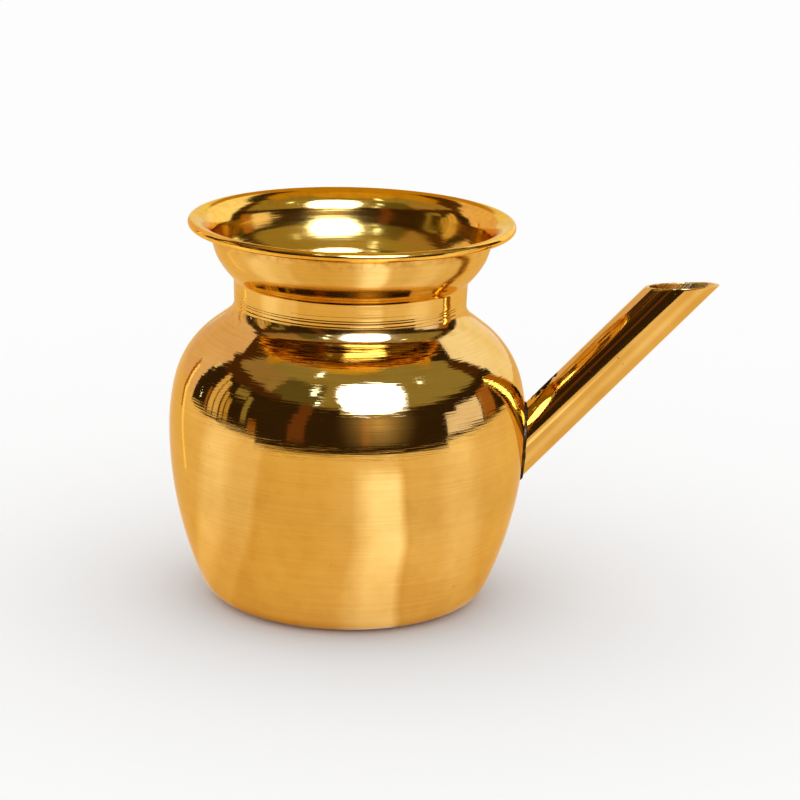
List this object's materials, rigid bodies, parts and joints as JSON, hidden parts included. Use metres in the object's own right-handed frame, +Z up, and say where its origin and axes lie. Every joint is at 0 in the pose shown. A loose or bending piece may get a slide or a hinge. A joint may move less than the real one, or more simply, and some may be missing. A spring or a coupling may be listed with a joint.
{
  "type": "lota",
  "caption": "Spun brass water pot with a rounded belly, a flared neck with a curled rim and a straight pipe spout soldered to its side; it stands on its flat base.",
  "frame": {"origin": "centre of the underside of the base, on the surface that the pot stands on", "axes": "+Z up along the pot's axis, +X towards the spout, +Y completing a right-handed frame"},
  "size_m": [0.1676, 0.11, 0.1188],
  "materials": {
    "polished_brass": "polished",
    "brazing_brass": "satin",
    "spout_brass": "gloss",
    "soft_solder": "satin"
  },
  "bodies": {
    "root": {"lower_bowl": "polished_brass", "girth_braze": "brazing_brass", "upper_shoulder": "polished_brass", "neck_braze": "brazing_brass", "neck_and_rim": "polished_brass", "spout_tube": "spout_brass", "spout_solder": "soft_solder"}
  },
  "joints": []
}
